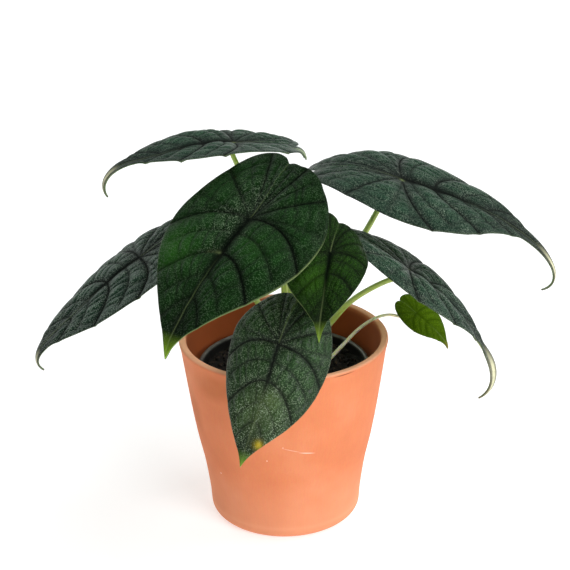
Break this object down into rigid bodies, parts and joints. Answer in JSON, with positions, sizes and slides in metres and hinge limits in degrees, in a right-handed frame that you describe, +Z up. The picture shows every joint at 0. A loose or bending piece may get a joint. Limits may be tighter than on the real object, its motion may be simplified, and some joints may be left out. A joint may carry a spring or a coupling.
{
  "type": "potted alocasia melo",
  "caption": "Compact houseplant with dark, quilted, drip-tipped leaves on slim petioles, in a grow pot inside a tapered terracotta pot.",
  "frame": {"origin": "centre of the terracotta pot's flat underside", "axes": "+Z up the pot's axis, -Y to the front of the plant, where the largest leaf faces, +X to its right"},
  "size_m": [0.3553, 0.2557, 0.2677],
  "materials": {
    "terracotta": "unglazed fired clay, matt",
    "dark_plastic": "thin satin plastic with a greyed rim",
    "potting_soil": "moist, crumbly, nearly black",
    "crown_skin": "ringed green-brown stem skin",
    "petiole": "smooth yellow-green stem, soft sheen",
    "leaf_blade": "dark green, quilted and pebbled, waxy sheen",
    "young_leaf_blade": "bright olive green, lightly quilted, waxy sheen"
  },
  "bodies": {
    "root": {"terracotta_pot": "terracotta", "grow_pot": "dark_plastic", "potting_soil": "potting_soil", "crown": "crown_skin", "petiole_top_left": "petiole", "blade_top_left": "leaf_blade", "petiole_front_large": "petiole", "blade_front_large": "leaf_blade", "petiole_far_left": "petiole", "blade_far_left": "leaf_blade", "petiole_upper_right": "petiole", "blade_upper_right": "leaf_blade", "petiole_lower_right": "petiole", "blade_lower_right": "leaf_blade", "petiole_front_small": "petiole", "blade_front_small": "leaf_blade", "petiole_front_low": "petiole", "blade_front_low": "leaf_blade", "petiole_young": "petiole", "blade_young": "young_leaf_blade"}
  },
  "joints": []
}
